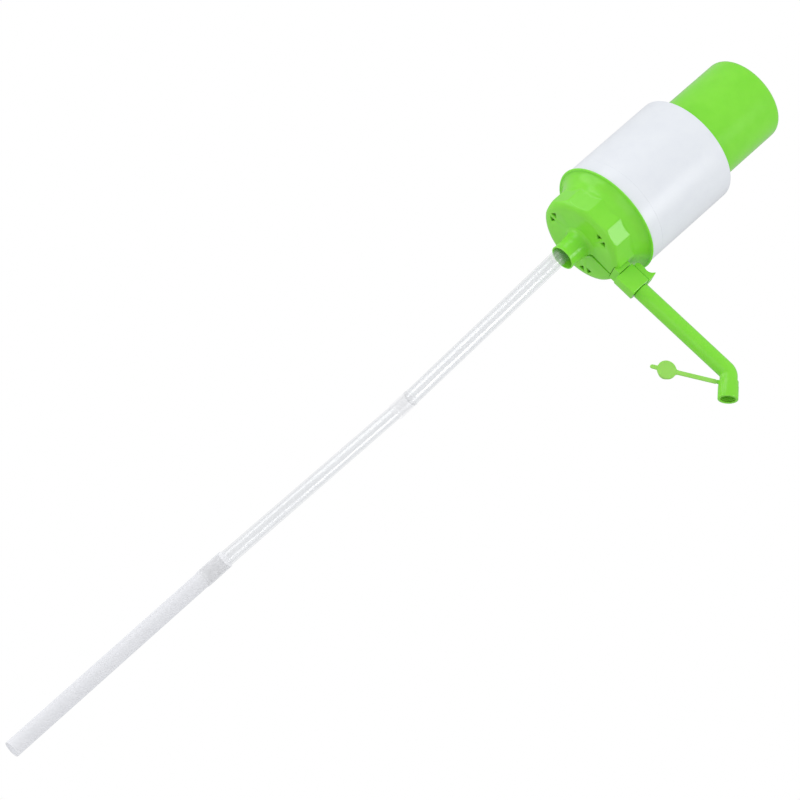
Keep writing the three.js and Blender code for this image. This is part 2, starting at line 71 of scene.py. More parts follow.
def rgb(r, g, b):
    """An sRGB colour given as 0-255, as a linear RGBA."""
    out = []
    for c in (r, g, b):
        c /= 255
        out.append(c / 12.92 if c <= 0.04045 else ((c + 0.055) / 1.055) ** 2.4)
    return (*out, 1.0)


def moulded(name, color, deep, rough=0.32, rough_span=0.05, mottle=90.0, grain=2600.0,
            bump=0.015, subsurface=0.0, alpha=1.0, transmission=0.0, ior=1.49, spec=0.5):
    """Moulded plastic: a faint mottle in the colour and gloss, and a very fine skin grain."""
    mat, nt, bsdf = principled(name)
    where = node(nt, "ShaderNodeTexCoord")
    soft = node(nt, "ShaderNodeTexNoise", Scale=mottle, Detail=3.0, Roughness=0.55)
    nt.links.new(where.outputs["Object"], soft.inputs["Vector"])
    mix = node(nt, "ShaderNodeMix", data_type="RGBA")
    mix.inputs["A"].default_value = deep
    mix.inputs["B"].default_value = color
    spread = node(nt, "ShaderNodeMapRange")
    spread.inputs["From Min"].default_value = 0.3
    spread.inputs["From Max"].default_value = 0.62
    nt.links.new(soft.outputs["Fac"], spread.inputs["Value"])
    nt.links.new(spread.outputs["Result"], mix.inputs["Factor"])
    nt.links.new(mix.outputs["Result"], bsdf.inputs["Base Color"])
    gloss = node(nt, "ShaderNodeMapRange")
    gloss.inputs["To Min"].default_value = rough - rough_span
    gloss.inputs["To Max"].default_value = rough + rough_span
    nt.links.new(soft.outputs["Fac"], gloss.inputs["Value"])
    nt.links.new(gloss.outputs["Result"], bsdf.inputs["Roughness"])
    fine = node(nt, "ShaderNodeTexNoise", Scale=grain, Detail=2.0)
    nt.links.new(where.outputs["Object"], fine.inputs["Vector"])
    relief = node(nt, "ShaderNodeBump", Strength=bump, Distance=0.0003)
    nt.links.new(fine.outputs["Fac"], relief.inputs["Height"])
    nt.links.new(relief.outputs["Normal"], bsdf.inputs["Normal"])
    bsdf.inputs["IOR"].default_value = ior
    bsdf.inputs["Specular IOR Level"].default_value = spec
    bsdf.inputs["Alpha"].default_value = alpha
    bsdf.inputs["Transmission Weight"].default_value = transmission
    if subsurface:
        bsdf.inputs["Subsurface Weight"].default_value = subsurface
        bsdf.inputs["Subsurface Radius"].default_value = (0.6, 1.0, 0.3)
        bsdf.inputs["Subsurface Scale"].default_value = 0.0025
    return mat


def height_band(nt, height, lo, hi, fade):
    """1 between two heights of the part in millimetres, 0 beyond them, with soft ends."""
    ends = []
    for at, sense in ((lo, 1), (hi, -1)):
        ramp = node(nt, "ShaderNodeMapRange", interpolation_type="SMOOTHSTEP")
        ramp.inputs["From Min"].default_value = (at - sense * fade) * MM
        ramp.inputs["From Max"].default_value = (at + sense * fade) * MM
        nt.links.new(height, ramp.inputs["Value"])
        ends.append(ramp.outputs["Result"])
    both = node(nt, "ShaderNodeMath", operation="MULTIPLY")
    nt.links.new(ends[0], both.inputs[0])
    nt.links.new(ends[1], both.inputs[1])
    return both.outputs[0]


def see_through(name, tint, edge_tint, color, deep, haze, skin_share, rough, painted_light_bands):
    """Thin clear plastic: it lets the view through, greyer towards its edges where the wall is deep, under a faint
    haze and a glossy skin. In the listed height bands a lighter tint and less haze are painted light.
    """
    mat, nt, bsdf = principled(name)
    where = node(nt, "ShaderNodeTexCoord")
    soft = node(nt, "ShaderNodeTexNoise", Scale=110.0, Detail=3.0)
    nt.links.new(where.outputs["Object"], soft.inputs["Vector"])
    mix = node(nt, "ShaderNodeMix", data_type="RGBA")
    mix.inputs["A"].default_value = deep
    mix.inputs["B"].default_value = color
    nt.links.new(soft.outputs["Fac"], mix.inputs["Factor"])
    nt.links.new(mix.outputs["Result"], bsdf.inputs["Base Color"])
    bsdf.inputs["Roughness"].default_value = 0.5
    bsdf.inputs["Specular IOR Level"].default_value = 0.0
    through = node(nt, "ShaderNodeBsdfTransparent")
    edge = node(nt, "ShaderNodeLayerWeight", Blend=0.35)
    wall = node(nt, "ShaderNodeMix", data_type="RGBA")
    wall.inputs["A"].default_value = tint
    wall.inputs["B"].default_value = edge_tint
    nt.links.new(edge.outputs["Facing"], wall.inputs["Factor"])
    split = node(nt, "ShaderNodeSeparateXYZ")
    nt.links.new(where.outputs["Object"], split.inputs[0])
    view, share = wall.outputs["Result"], None
    spread = node(nt, "ShaderNodeMapRange")
    spread.inputs["To Min"].default_value, spread.inputs["To Max"].default_value = haze
    nt.links.new(edge.outputs["Facing"], spread.inputs["Value"])
    veil = spread.outputs["Result"]
    # Painted light: each band lightens the tint and cuts the haze. At the pipe joints this paints out the shade the
    # nested walls cast on one another. In the boss a light green tint stands in for light glowing through the green
    # boss wall.
    for lo, hi, fade, clear_tint, clear_haze, clear_skin in painted_light_bands:      # where two walls lie in one another, or in the boss
        band = height_band(nt, split.outputs["Z"], lo, hi, fade)
        lighter = node(nt, "ShaderNodeMix", data_type="RGBA")
        lighter.inputs["B"].default_value = clear_tint
        nt.links.new(band, lighter.inputs["Factor"])
        nt.links.new(view, lighter.inputs["A"])
        view = lighter.outputs["Result"]
        less = node(nt, "ShaderNodeMix", data_type="FLOAT")
        less.inputs["B"].default_value = clear_haze
        nt.links.new(band, less.inputs["Factor"])
        nt.links.new(veil, less.inputs["A"])
        veil = less.outputs["Result"]
        calm = node(nt, "ShaderNodeMix", data_type="FLOAT")
        calm.inputs["A"].default_value = skin_share
        calm.inputs["B"].default_value = clear_skin
        nt.links.new(band, calm.inputs["Factor"])
        if share is not None:
            nt.links.new(share, calm.inputs["A"])
        share = calm.outputs["Result"]
    nt.links.new(view, through.inputs["Color"])
    body = node(nt, "ShaderNodeMixShader")
    nt.links.new(veil, body.inputs["Fac"])
    nt.links.new(through.outputs[0], body.inputs[1])
    nt.links.new(bsdf.outputs[0], body.inputs[2])
    shine = node(nt, "ShaderNodeBsdfAnisotropic")
    shine.inputs["Color"].default_value = (1, 1, 1, 1)
    gloss = node(nt, "ShaderNodeMapRange")
    gloss.inputs["To Min"].default_value, gloss.inputs["To Max"].default_value = rough - 0.03, rough + 0.03
    nt.links.new(soft.outputs["Fac"], gloss.inputs["Value"])
    nt.links.new(gloss.outputs["Result"], shine.inputs["Roughness"])
    skin = node(nt, "ShaderNodeMixShader")
    skin.inputs["Fac"].default_value = skin_share
    if share is not None:
        nt.links.new(share, skin.inputs["Fac"])
    nt.links.new(body.outputs[0], skin.inputs[1])
    nt.links.new(shine.outputs[0], skin.inputs[2])
    nt.links.new(skin.outputs[0], nt.nodes["Material Output"].inputs["Surface"])
    return mat


GREEN = moulded("green_satin", rgb(133, 225, 62), rgb(128, 221, 58), rough=0.19, rough_span=0.04,
                 subsurface=0.18, spec=0.38)
GREEN_SOFT = moulded("green_soft_strap", rgb(160, 227, 98), rgb(154, 222, 92), rough=0.38,
                     subsurface=0.25, transmission=0.12)
WHITE = moulded("white_satin", rgb(231, 235, 241), rgb(228, 232, 239), rough=0.34)
INNER = moulded("inner_white", rgb(236, 238, 238), rgb(231, 234, 234), rough=0.42)
SOFT = moulded("bellows_soft", rgb(238, 238, 228), rgb(232, 232, 222), rough=0.5, subsurface=0.2)
# The clear pipe's bands are painted light: lighter and less hazy at its two joints, where the nested walls shade
# each other, and light green in the boss, where light glows through the green boss wall.
CLEAR = see_through("clear_pipe", (0.972, 0.975, 0.98, 1), (0.965, 0.968, 0.974, 1), rgb(246, 247, 249), rgb(240, 242, 245),
                    haze=(0.14, 0.18), skin_share=0.055, rough=0.13,
                    painted_light_bands=[(-169.6, -156.4, 0.8, (0.985, 0.986, 0.989, 1), 0.022, 0.012),
                          (-328.2, -310.8, 0.8, (0.99, 0.991, 0.993, 1), 0.02, 0.01),
                          (-19.0, 20.0, 5.0, (0.985, 0.997, 0.975, 1), 0.03, 0.02)])
# The frosted pipe's band at the lower joint is painted light: lighter and less hazy where the nested walls shade
# each other.
FROST = see_through("frosted_pipe", (0.955, 0.958, 0.966, 1), (0.95, 0.953, 0.962, 1), rgb(244, 245, 249), rgb(240, 241, 246),
                    haze=(0.66, 0.72), skin_share=0.025, rough=0.4,
                    painted_light_bands=[(-328.2, -310.8, 0.8, (0.985, 0.987, 0.99, 1), 0.55, 0.015)])
FROST_IN = see_through("frosted_pipe_bore", (0.985, 0.987, 0.99, 1), (0.98, 0.983, 0.987, 1), rgb(246, 247, 249), rgb(242, 243, 247),
                       haze=(0.06, 0.08), skin_share=0.015, rough=0.4, painted_light_bands=[])
RUBBER = moulded("valve_rubber", rgb(48, 49, 50), rgb(40, 41, 42), rough=0.62, bump=0.06)
STEEL, _nt, _b = principled("pin_steel")
_b.inputs["Metallic"].default_value = 1.0
_w = node(_nt, "ShaderNodeTexCoord")
_s = node(_nt, "ShaderNodeTexNoise", Scale=400.0, Detail=4.0)
_nt.links.new(_w.outputs["Object"], _s.inputs["Vector"])
_m = node(_nt, "ShaderNodeMapRange")
_m.inputs["To Min"].default_value = 0.2
_m.inputs["To Max"].default_value = 0.38
_nt.links.new(_s.outputs["Fac"], _m.inputs["Value"])
_nt.links.new(_m.outputs["Result"], _b.inputs["Roughness"])
_c = node(_nt, "ShaderNodeMix", data_type="RGBA")
_c.inputs["A"].default_value = rgb(186, 188, 190)
_c.inputs["B"].default_value = rgb(204, 206, 208)
_nt.links.new(_s.outputs["Fac"], _c.inputs["Factor"])
_nt.links.new(_c.outputs["Result"], _b.inputs["Base Color"])


# ------------------------------------------------------------------ mesh tools
def piece(name, bm, mat, body, nodes=(), sharp=34, matrix=None):
    """A finished mesh in metres that rides on a body and stands for some CAD nodes."""
    bmesh.ops.remove_doubles(bm, verts=bm.verts, dist=1e-5)
    bmesh.ops.recalc_face_normals(bm, faces=bm.faces)
    if matrix is not None:
        bm.transform(matrix)
    bm.transform(Matrix.Diagonal((MM, MM, MM, 1)))
    mesh = bpy.data.meshes.new(name)
    bm.to_mesh(mesh)
    bm.free()
    obj = bpy.data.objects.new(name, mesh)
    bpy.context.scene.collection.objects.link(obj)
    mesh.materials.append(mat)
    mesh.shade_smooth()
    mesh.set_sharp_from_angle(angle=sharp * RAD)
    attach(obj, body)
    if nodes:
        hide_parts(*nodes)
    return obj


def rounded(points, closed=True, steps=4):
    """Corners of an (a, b, radius) outline turned into arcs."""
    out = []
    n = len(points)
    for i, p in enumerate(points):
        r = p[2] if len(p) > 2 else 0
        if not r or (not closed and i in (0, n - 1)):
            out.append((p[0], p[1]))
            continue
        a, b = Vector(points[i - 1][:2]), Vector(points[(i + 1) % n][:2])
        c = Vector(p[:2])
        u, v = (a - c), (b - c)
        lu, lv = u.length, v.length
        u.normalize()
        v.normalize()
        angle = math.acos(max(-1, min(1, u.dot(v))))
        if angle > math.pi - 0.02:
            out.append((p[0], p[1]))
            continue
        reach = min(r / math.tan(angle / 2), lu * 0.49, lv * 0.49)
        r = reach * math.tan(angle / 2)
        centre = c + (u + v).normalized() * (r / math.sin(angle / 2))
        s, e = c + u * reach - centre, c + v * reach - centre
        turn = math.atan2(s.x * e.y - s.y * e.x, s.dot(e))
        for k in range(steps + 1):
            t = turn * k / steps
            q = centre + Vector((s.x * math.cos(t) - s.y * math.sin(t), s.x * math.sin(t) + s.y * math.cos(t)))
            out.append((q.x, q.y))
    return out


def loft(rings, closed=True):
    """Quads between rings of points. A ring of one point is a tip."""
    bm = bmesh.new()
    made = [[bm.verts.new(p) for p in ring] for ring in rings]
    pairs = list(zip(made, made[1:]))
    if closed:
        pairs.append((made[-1], made[0]))
    for lo, hi in pairs:
        n = max(len(lo), len(hi))
        for i in range(n):
            j = (i + 1) % n
            quad = [lo[i % len(lo)], lo[j % len(lo)], hi[j % len(hi)], hi[i % len(hi)]]
            quad = [v for k, v in enumerate(quad) if v not in quad[:k]]
            if len(quad) > 2:
                bm.faces.new(quad)
    return bm


def turned(profile, seg=128, closed=True):
    """A body of revolution about Z from (radius, height) points."""
    rings = []
    for r, z in profile:
        if r < 1e-6:
            rings.append([(0, 0, z)])
        else:
            rings.append([(r * math.cos(2 * math.pi * i / seg), r * math.sin(2 * math.pi * i / seg), z) for i in range(seg)])
    return loft(rings, closed)


def prism(outline, lo, hi, plane="XZ", bevel=0.0, segments=3, angle=30):
    """An outline pushed along the third axis, with its edges rounded."""
    bm = bmesh.new()
    if plane == "XZ":
        verts = [bm.verts.new((a, lo, b)) for a, b in outline]
        step = (0, hi - lo, 0)
    else:
        verts = [bm.verts.new((lo, a, b)) for a, b in outline]
        step = (hi - lo, 0, 0)
    face = bm.faces.new(verts)
    made = bmesh.ops.extrude_face_region(bm, geom=[face], use_keep_orig=True)
    bmesh.ops.translate(bm, vec=step, verts=[v for v in made["geom"] if isinstance(v, bmesh.types.BMVert)])
    bmesh.ops.recalc_face_normals(bm, faces=bm.faces)
    if bevel:
        soften(bm, bevel, segments, angle)
    return bm


def soften(bm, width, segments=2, angle=30, where=None):
    """Rounds the edges sharper than angle, or those of them that where() picks."""
    edges = [e for e in bm.edges if len(e.link_faces) == 2 and e.calc_face_angle(0) > angle * RAD
             and (where is None or where((e.verts[0].co + e.verts[1].co) / 2))]
    bmesh.ops.bevel(bm, geom=edges, offset=width, segments=segments, profile=0.5, affect="EDGES", clamp_overlap=True)


def rod(radius, lo, hi, axis="Z", at=(0, 0), seg=48):
    """A plain cylinder, used as a cutter."""
    bm = bmesh.new()
    rings = []
    for h in (lo, hi):
        ring = []
        for i in range(seg):
            a = 2 * math.pi * i / seg
            p, q = at[0] + radius * math.cos(a), at[1] + radius * math.sin(a)
            ring.append(bm.verts.new({"Z": (p, q, h), "X": (h, p, q), "Y": (p, h, q)}[axis]))
        rings.append(ring)
    for i in range(seg):
        j = (i + 1) % seg
        bm.faces.new((rings[0][i], rings[0][j], rings[1][j], rings[1][i]))
    bm.faces.new(rings[0])
    bm.faces.new(rings[1])
    bmesh.ops.recalc_face_normals(bm, faces=bm.faces)
    return bm


def brick(x0, x1, y0, y1, z0, z1):
    return prism([(x0, z0), (x1, z0), (x1, z1), (x0, z1)], y0, y1)


def carve(bm, *cutters, how="DIFFERENCE"):
    """bm with the cutters taken away, or joined on."""
    def holder(b, name):
        bmesh.ops.recalc_face_normals(b, faces=b.faces)
        mesh = bpy.data.meshes.new(name)
        b.to_mesh(mesh)
        b.free()
        o = bpy.data.objects.new(name, mesh)
        bpy.context.scene.collection.objects.link(o)
        return o
    base = holder(bm, "carve_base")
    tools = [holder(c, "carve_tool") for c in cutters]
    for t in tools:
        m = base.modifiers.new("b", "BOOLEAN")
        m.operation = how
        m.solver = "EXACT"
        m.object = t
    bpy.context.view_layer.update()
    dg = bpy.context.evaluated_depsgraph_get()
    mesh = bpy.data.meshes.new_from_object(base.evaluated_get(dg))
    out = bmesh.new()
    out.from_mesh(mesh)
    for o in (base, *tools):
        old = o.data
        bpy.data.objects.remove(o)
        bpy.data.meshes.remove(old)
    bpy.data.meshes.remove(mesh)
    return out


# ------------------------------------------------------------------ base cover
SEG = 360
CORNER_R = 30.8
CORNERS = [15.5, 46.5, 70, 100.5, 132, 164, 196, 228, 259.5, 290, 313.5, 344.5]
FACETS = [(0.5 * (lo + hi) * RAD, CORNER_R * math.cos(0.5 * (hi - lo) * RAD)) for lo, hi in zip([-15.5] + CORNERS, CORNERS)]


def lerp_table(table, x):
    for (x0, y0), (x1, y1) in zip(table, table[1:]):
        if x <= x1:
            return y0 + (y1 - y0) * max(0.0, (x - x0) / (x1 - x0))
    return table[-1][1]


def smooth_min(a, b, k):
    h = max(k - abs(a - b), 0) / k
    return min(a, b) - h * h * k / 4


def smooth_max(a, b, k):
    return -smooth_min(-a, -b, k)


def facet_radius(theta):
    """Radius of the twelve-sided outline, its corners softly rounded."""
    near = sorted((math.cos(theta - mid) / apothem for mid, apothem in FACETS), reverse=True)[:2]
    p = 420
    return 1 / (near[0] * (1 + (near[1] / near[0]) ** p) ** (1 / p))


def bottom_edge(h):
    """Outline of the rounded bottom edge: 6 mm inwards, 4.2 mm up."""
    if h >= 4.2:
        return CORNER_R + min(0.15, (h - 4.2) * 0.1)
    return CORNER_R - 6.0 * (1 - math.sqrt(1 - ((4.2 - h) / 4.2) ** 2))


COVE = [(10.8, 28.6), (12.3, 28.9), (13.2, 29.3), (14.0, 29.8), (15.0, 30.28), (16.0, 30.8), (17.1, 31.27), (18.2, 31.8), (19.3, 32.38),
        (20.3, 33.0), (21.2, 33.62), (22.1, 34.3), (22.9, 35.02), (23.6, 35.8), (24.1, 36.5)]

rings = []


def circle_ring(r, z):
    rings.append([(r * math.cos(2 * math.pi * i / SEG), r * math.sin(2 * math.pi * i / SEG), z) for i in range(SEG)])


boss = rounded([(7.9, 1.5), (7.5, -16.4, 0.22), (8.4, -16.4, 0.3), (8.4, -15.9, 0.3), (8.25, -14.0, 1.0), (8.3, -9.0, 3), (8.6, -5.0, 3),
                (9.1, -2.4, 2), (9.9, -0.9, 1.5), (11.6, 0.0, 1.6), (13.5, 0.0)], closed=False, steps=5)
for r, z in boss[:-1]:
    circle_ring(r, z)
flat_from = len(rings) - 1
z = 0.0
heights = [0.0, 0.02, 0.06, 0.12, 0.2, 0.3, 0.42, 0.56, 0.72, 0.9, 1.1, 1.32, 1.56, 1.82, 2.1, 2.4, 2.75, 3.1, 3.5, 3.9, 4.3, 5.0, 6.5, 8.0,
           9.6, 10.4]
h = 10.8
while h < 17.0:
    heights.append(h)
    h += 0.2
heights += [17.5, 18.1, 18.7, 19.3, 19.9, 20.5, 21.1, 21.7, 22.2, 22.7, 23.2, 23.65, 24.1]
for h in heights:
    ring = []
    for i in range(SEG):
        t = 2 * math.pi * i / SEG
        r = smooth_min(facet_radius(t), bottom_edge(h), 0.3)
        if h >= 10.8:
            r = smooth_max(r, lerp_table(COVE, h), 0.25)
        ring.append((r * math.cos(t), r * math.sin(t), h))
    rings.append(ring)
lip = rounded([(36.5, 24.1), (37.0, 24.2, 0.15), (37.3, 24.0, 0.1), (37.8, 24.0, 0.2), (38.4, 24.3, 0.2), (38.6, 24.6, 0.1),
               (38.6, 24.9, 0.15), (35.1, 24.9, 0.1), (35.1, 28.5, 0.2), (33.0, 28.5, 0.2), (33.0, 20.9, 0.05), (27.6, 20.9, 0.2),
               (27.6, 1.5, 0.4), (7.9, 1.5)], closed=False, steps=3)
for r, z in lip[1:-1]:
    circle_ring(r, z)
cover = bmesh.new()
made = [[cover.verts.new(p) for p in ring] for ring in rings]
for k, (lo, hi) in enumerate(zip(made, made[1:] + made[:1])):
    if k == flat_from or k == len(made) - 1:      # the flat faces, as few large sectors
        for s in range(12):
            idx = [(s * 30 + q) % SEG for q in range(31)]
            cover.faces.new([lo[i] for i in idx] + [hi[i] for i in reversed(idx)])
        continue
    for i in range(SEG):
        j = (i + 1) % SEG
        cover.faces.new((lo[i], lo[j], hi[j], hi[i]))
slit = bmesh.new()
low, high = ([slit.verts.new((x, y, z)) for x, y in ((8.6, -0.2), (27.6, 1.7), (27.6, 3.1), (8.6, 2.6))] for z in (-3, 2))
slit.faces.new(low)
slit.faces.new(high)
for i in range(4):
    slit.faces.new((low[i], low[(i + 1) % 4], high[(i + 1) % 4], high[i]))
cutters = [brick(26.9, 45, -7.0, 7.0, -2, 11.0), slit]
for deg in (60, 180, 300):
    a = deg * RAD
    turn = Matrix.Translation((23.0 * math.cos(a), 23.0 * math.sin(a), 0)) @ Matrix.Rotation(a, 4, "Z")
    for side in (1, -1):
        shape = rounded([(-2.4, side * 1.3, 0.15), (2.4, side * 1.3, 0.15), (1.49, side * 3.3, 3), (0, side * 5.3, 0.15), (-1.49, side * 3.3, 3)], steps=3)
        b = bmesh.new()
        low = [b.verts.new((x, y, -1)) for x, y in shape]
        high = [b.verts.new((x, y, 3)) for x, y in shape]
        b.faces.new(low)
        b.faces.new(high)
        for q in range(len(shape)):
            w = (q + 1) % len(shape)
            b.faces.new((low[q], low[w], high[w], high[q]))
        b.transform(turn)
        cutters.append(b)
cover = carve(cover, *cutters)


def cut_edge(p):
    r = math.hypot(p.x, p.y)
    if abs(p.z) < 0.01 and 11.7 < r < 28.0 and p.x < 26.8:
        return True
    inside = p.x > 26.5 and abs(p.y) < 7.2 and p.z < 11.2
    return inside and (abs(abs(p.y) - 7.0) < 0.05 or abs(p.z - 11.0) < 0.05 or abs(p.x - 26.9) < 0.05)


soften(cover, 0.2, 2, 50, cut_edge)
piece("cover_skin", cover, GREEN, "pump_body", ["base_cover"], sharp=30)

# ------------------------------------------------------------------ inner deck
deck = turned(rounded([(0, 21.2), (32.7, 21.2, 0.3), (32.7, 24.0, 0.3), (0, 24.0)], closed=False), 128, closed=False)
deck = carve(deck, rod(8.2, 15.5, 22.6, at=(-2.55, 0), seg=72), rod(3.9, 3.0, 17, at=(-2.55, 0), seg=48),
             rod(6.8, 2.2, 22.6, at=(16, 0), seg=64), rod(4.0, 16, 36.4, "X", (0, 6.1), 64),
             brick(27.3, 32.1, -6.4, 6.4, 0.3, 10.5), how="UNION")
deck = carve(deck, rod(8.3, 22, 25, at=(-2.55, 0), seg=72), rod(6.2, 18, 23, at=(-2.55, 0), seg=64), rod(2.8, 2, 19, at=(-2.55, 0), seg=48),
             rod(6.6, 22, 25, at=(16, 0), seg=64), rod(5.4, 4, 23, at=(16, 0), seg=64), rod(3.2, 16, 38, "X", (0, 6.1), 64))
piece("deck_skin", deck, GREEN, "pump_body", ["pump_base"])

# --------------------------------------------------------------------- sleeve
sleeve = turned(rounded([
    (35.4, 25.2, 0.1), (37.6, 25.2, 0.2), (37.6, 34.5), (37.52, 34.55), (37.52, 34.75), (37.6, 34.8), (37.6, 100.7, 0.9),
    (29.8, 100.7, 0.35), (29.8, 98.0, 0.2), (35.4, 98.0, 0.3)], steps=5), 192)
piece("sleeve_skin", sleeve, WHITE, "pump_body", ["outer_sleeve"], sharp=40)

# ------------------------------------------------------------------- push cap
cap = turned(rounded([
    (0, 158.55), (27.6, 158.55, 3.2), (27.6, 74.0, 0.3), (29.4, 74.0, 0.3), (29.4, 95.2, 0.2), (34.9, 95.2, 0.3), (34.9, 97.7, 0.3),
    (29.4, 97.7, 0.2), (29.4, 160.75, 5.0), (0, 160.75)], closed=False, steps=8), 192, closed=False)
piece("push_cap_skin", cap, GREEN, "push_button", ["push_cap"], sharp=40)

# -------------------------------------------------------------------- bellows
folds, z_lo, z_hi = 8, 27.4, 147.4
step = (z_hi - z_lo) / (2 * folds)
outer = [(21.6 if i % 2 == 0 else 26.2, z_hi - step * i, 0.9) for i in range(2 * folds + 1)]
inner = [(r - 1.1, z, 0.6) for r, z, _ in outer]
shape = [(0, 150.0), (21.6, 150.0, 0.8)] + outer + [(21.6, 25.6, 0.2), (29.6, 25.6, 0.2), (29.6, 24.3, 0.2), (20.5, 24.3, 0.2)] \
    + inner[::-1] + [(20.5, 148.7, 0.3), (0, 148.7)]
bellows = piece("bellows_skin", turned(rounded(shape, closed=False, steps=3), 72, closed=False), SOFT, "pump_body",
                ["bellows"], sharp=60)
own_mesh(bellows)

# the spout's straight part rises a little on its way out
FOOT, CORNER = Vector((47.4, 0, 5.2)), Vector((122.2, 0, 6.3))
RISE = math.atan2(CORNER.z - FOOT.z, CORNER.x - FOOT.x)
ON_SPOUT = Matrix.Translation(FOOT) @ Matrix.Rotation(-RISE, 4, "Y") @ Matrix.Translation((-FOOT.x, 0, 0))


# --------------------------------------------------------------- outlet block
def block_section():
    w, z0, z1 = 6.1, -3.0, 11.7
    return rounded([(-w, z0, 0.9), (w, z0, 6.0), (w, z1, 1.0), (-w, z1, 0.9)], steps=6)


block = prism(block_section(), 32.4, 47.0, "YZ", bevel=0.45, segments=3, angle=40)
lug = prism([(34.3, 10.5), (36.9, 10.5)] + [(35.6 + 1.3 * math.cos(t * RAD), 13.8 + 1.3 * math.sin(t * RAD)) for t in range(0, 181, 15)],
            -1.5, 1.5, bevel=0.15, segments=2, angle=60)
block = carve(block, lug, how="UNION")
spigot_hole = rod(4.75, 37.3, 48, "X", (0, 0), 64)
spigot_hole.transform(ON_SPOUT)
block = carve(block, rod(4.4, 31, 36.8, "X", (0, 6.1), 64), rod(3.2, 36, 38.5, "X", (0, 6.1), 64), spigot_hole,
              rod(1.0, 8, 13, "Z", (42.5, 0), 32), rod(0.95, -3, 3, "Y", (35.6, 13.8), 32))
piece("outlet_block_skin", block, GREEN, "pump_body", ["outlet_socket"], sharp=30)

arc_in = [(35.6 + 1.75 * math.cos(t * RAD), 13.8 + 1.75 * math.sin(t * RAD)) for t in range(180, 271, 10)]
tab = [(x, z) for x, z in arc_in] + [(x, z) for x, z in rounded([
    (35.6, 12.05), (47.3, 12.05, 0.4), (47.1, 15.4, 3), (46.8, 18.4, 2), (46.4, 19.0, 0.35), (45.0, 17.0, 3), (43.4, 15.9, 3),
    (41.5, 15.6, 4), (39.6, 16.0, 3), (36.0, 16.0, 1.2), (34.7, 15.4, 0.9), (34.0, 14.4, 0.8), (33.85, 13.8)], closed=False, steps=4)][1:-1]
tab = prism(tab, -5.2, 5.2, bevel=0.4, segments=3, angle=28)
tab = carve(tab, brick(32.6, 38.2, -1.9, 1.9, 9, 15.4), rod(0.95, -4.2, 6.2, "Y", (35.6, 13.8), 32), rod(2.6, 11, 13.35, "Z", (42.5, 0), 48))
piece("release_tab_skin", tab, GREEN, "air_release", ["release_lever"], sharp=30)

# ---------------------------------------------------------------------- spout
DROP = 50.3 * RAD
NOZZLE = Vector((math.cos(DROP), 0, -math.sin(DROP)))
ELBOW_R = 6.2


def spout_ring(p, d, r, seg=72):
    n = Vector((-d.z, 0, d.x))
    return [tuple(p + n * (r * math.cos(2 * math.pi * i / seg)) + Vector((0, r * math.sin(2 * math.pi * i / seg), 0))) for i in range(seg)]


def on_spout(x):
    return FOOT + X * ((x - FOOT.x) / math.cos(RISE))


def bend_path(radius, x_from, reach, steps=24):
    """Stations along the spout and down the nozzle, with the given bend radius."""
    turn = DROP + RISE
    centre = CORNER - X * (radius * math.tan(turn / 2)) + Vector((math.sin(RISE), 0, -math.cos(RISE))) * radius
    out = [(on_spout(x_from), X.copy())]
    for k in range(steps + 1):
        a = RISE - turn * k / steps
        out.append((centre + Vector((-radius * math.sin(a), 0, radius * math.cos(a))), Vector((math.cos(a), 0, math.sin(a)))))
    out.append((CORNER + NOZZLE * reach, NOZZLE.copy()))
    return out


X = Vector((math.cos(RISE), 0, math.sin(RISE)))
stations = []
for r, x in rounded([(3.0, 37.6, 0.2), (4.0, 37.6, 0.35), (4.0, 44.0), (3.35, 44.0), (3.35, 45.6), (4.0, 45.6), (4.0, 47.4, 0.1),
                     (5.55, 47.4, 0.45), (5.55, 60.0)], closed=False, steps=3)[:-1]:
    stations.append((on_spout(x), X, r))
stations += [(p, d, 5.55) for p, d in bend_path(ELBOW_R, 60.0, 16.5)]
stations += [(CORNER + NOZZLE * 16.8, NOZZLE, 5.4), (CORNER + NOZZLE * 16.9, NOZZLE, 5.2), (CORNER + NOZZLE * 16.9, NOZZLE, 4.75),
             (CORNER + NOZZLE * 16.75, NOZZLE, 4.6)]
stations += [(p, d, 4.6) for p, d in reversed(bend_path(ELBOW_R, 48.8, 16.4))]
stations += [(on_spout(48.6), X, 4.4), (on_spout(48.6), X, 3.1)]
spout = loft([spout_ring(p, d, r) for p, d, r in stations])
piece("spout_skin", spout, GREEN, "spout", ["spout_tube"], sharp=34)

MOUTH = CORNER + NOZZLE * 18.1
TO_NOZZLE = Matrix.Translation(MOUTH) @ Matrix.Rotation(-(math.pi / 2 - DROP), 4, "Y")
collar = turned(rounded([(4.75, 0.9, 0.1), (4.75, 0.0, 0.25), (6.4, 0.0, 0.4), (6.4, 8.45, 0.12), (6.25, 8.6, 0.1), (6.25, 12.0, 0.15),
                         (5.82, 12.0, 0.1), (5.82, 0.9, 0.1)], steps=4), 96)
seat = [(-8.45 + 1.46 * math.cos(t * RAD), 10.8 + 1.46 * math.sin(t * RAD)) for t in range(48, -49, -8)]
stub = prism([(-5.98, 9.6), (-5.98, 12.0)] + seat, -0.6, 0.6, bevel=0.1, angle=60)
collar = carve(collar, stub, how="UNION")
piece("nozzle_collar_skin", collar, GREEN, "nozzle_ring", ["cap_ring"], sharp=34, matrix=TO_NOZZLE)

